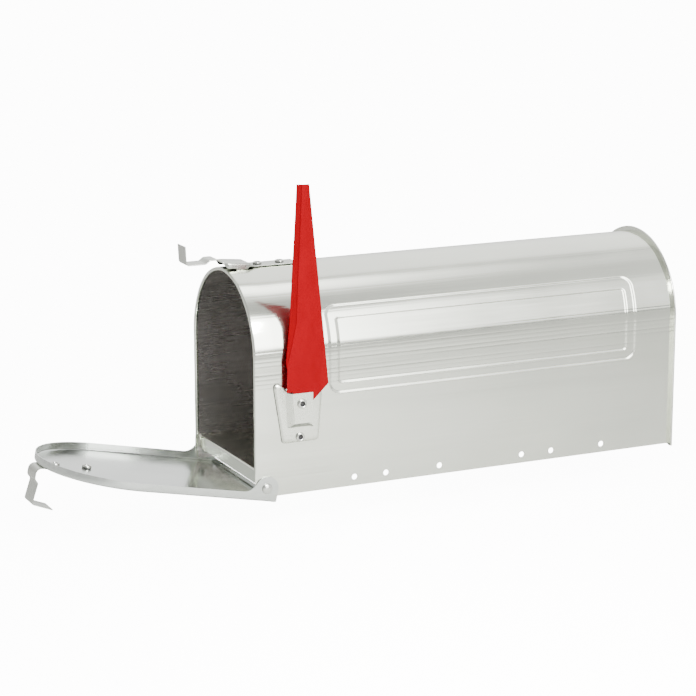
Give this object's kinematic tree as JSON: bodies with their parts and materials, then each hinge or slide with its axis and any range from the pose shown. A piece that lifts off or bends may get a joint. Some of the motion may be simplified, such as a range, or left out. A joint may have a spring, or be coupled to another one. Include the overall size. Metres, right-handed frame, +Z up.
{
  "type": "arched mailbox",
  "caption": "Arched sheet-metal mailbox with a drop-down front door, a turning side flag and a spring catch, screwed to a board.",
  "frame": {"origin": "middle of the floor pan's underside, where the box sits on its board", "axes": "+Z up, +Y from the door to the back, +X to the side that carries the flag"},
  "size_m": [0.1756, 0.6858, 0.315],
  "materials": {
    "bright_aluminium": "bright rolled sheet with fine lengthwise lines",
    "satin_aluminium": "satin pressed sheet",
    "strap_steel": "zinc-plated satin",
    "rivet_metal": "bright",
    "red_enamel": "gloss enamel"
  },
  "bodies": {
    "box": {"body_shell": "bright_aluminium", "floor_pan": "bright_aluminium", "back_panel": "bright_aluminium", "body_catch": "strap_steel", "flag_bracket": "satin_aluminium", "hinge_rivet_right": "rivet_metal", "hinge_rivet_left": "rivet_metal", "hinge_washer_right": "rivet_metal", "hinge_washer_left": "rivet_metal", "flag_pivot_rivet": "rivet_metal", "flag_spacer": "rivet_metal", "bracket_rivet": "rivet_metal", "catch_rivet_front": "rivet_metal", "catch_rivet_rear": "rivet_metal"},
    "door": {"door_panel": "bright_aluminium", "door_pull": "strap_steel", "pull_rivet_low": "rivet_metal", "pull_rivet_high": "rivet_metal"},
    "flag_arm": {"flag": "red_enamel"}
  },
  "joints": [
    {"name": "door_hinge", "type": "hinge", "parent": "box", "child": "door", "pos_m": [0, -0.228, -0.016], "axis": [-1, 0, 0], "range_deg": [0, 78.5]},
    {"name": "flag_pivot", "type": "hinge", "parent": "box", "child": "flag_arm", "pos_m": [0.0867, -0.1931, 0.0679], "axis": [-1, 0, 0], "range_deg": [0, 90]}
  ]
}
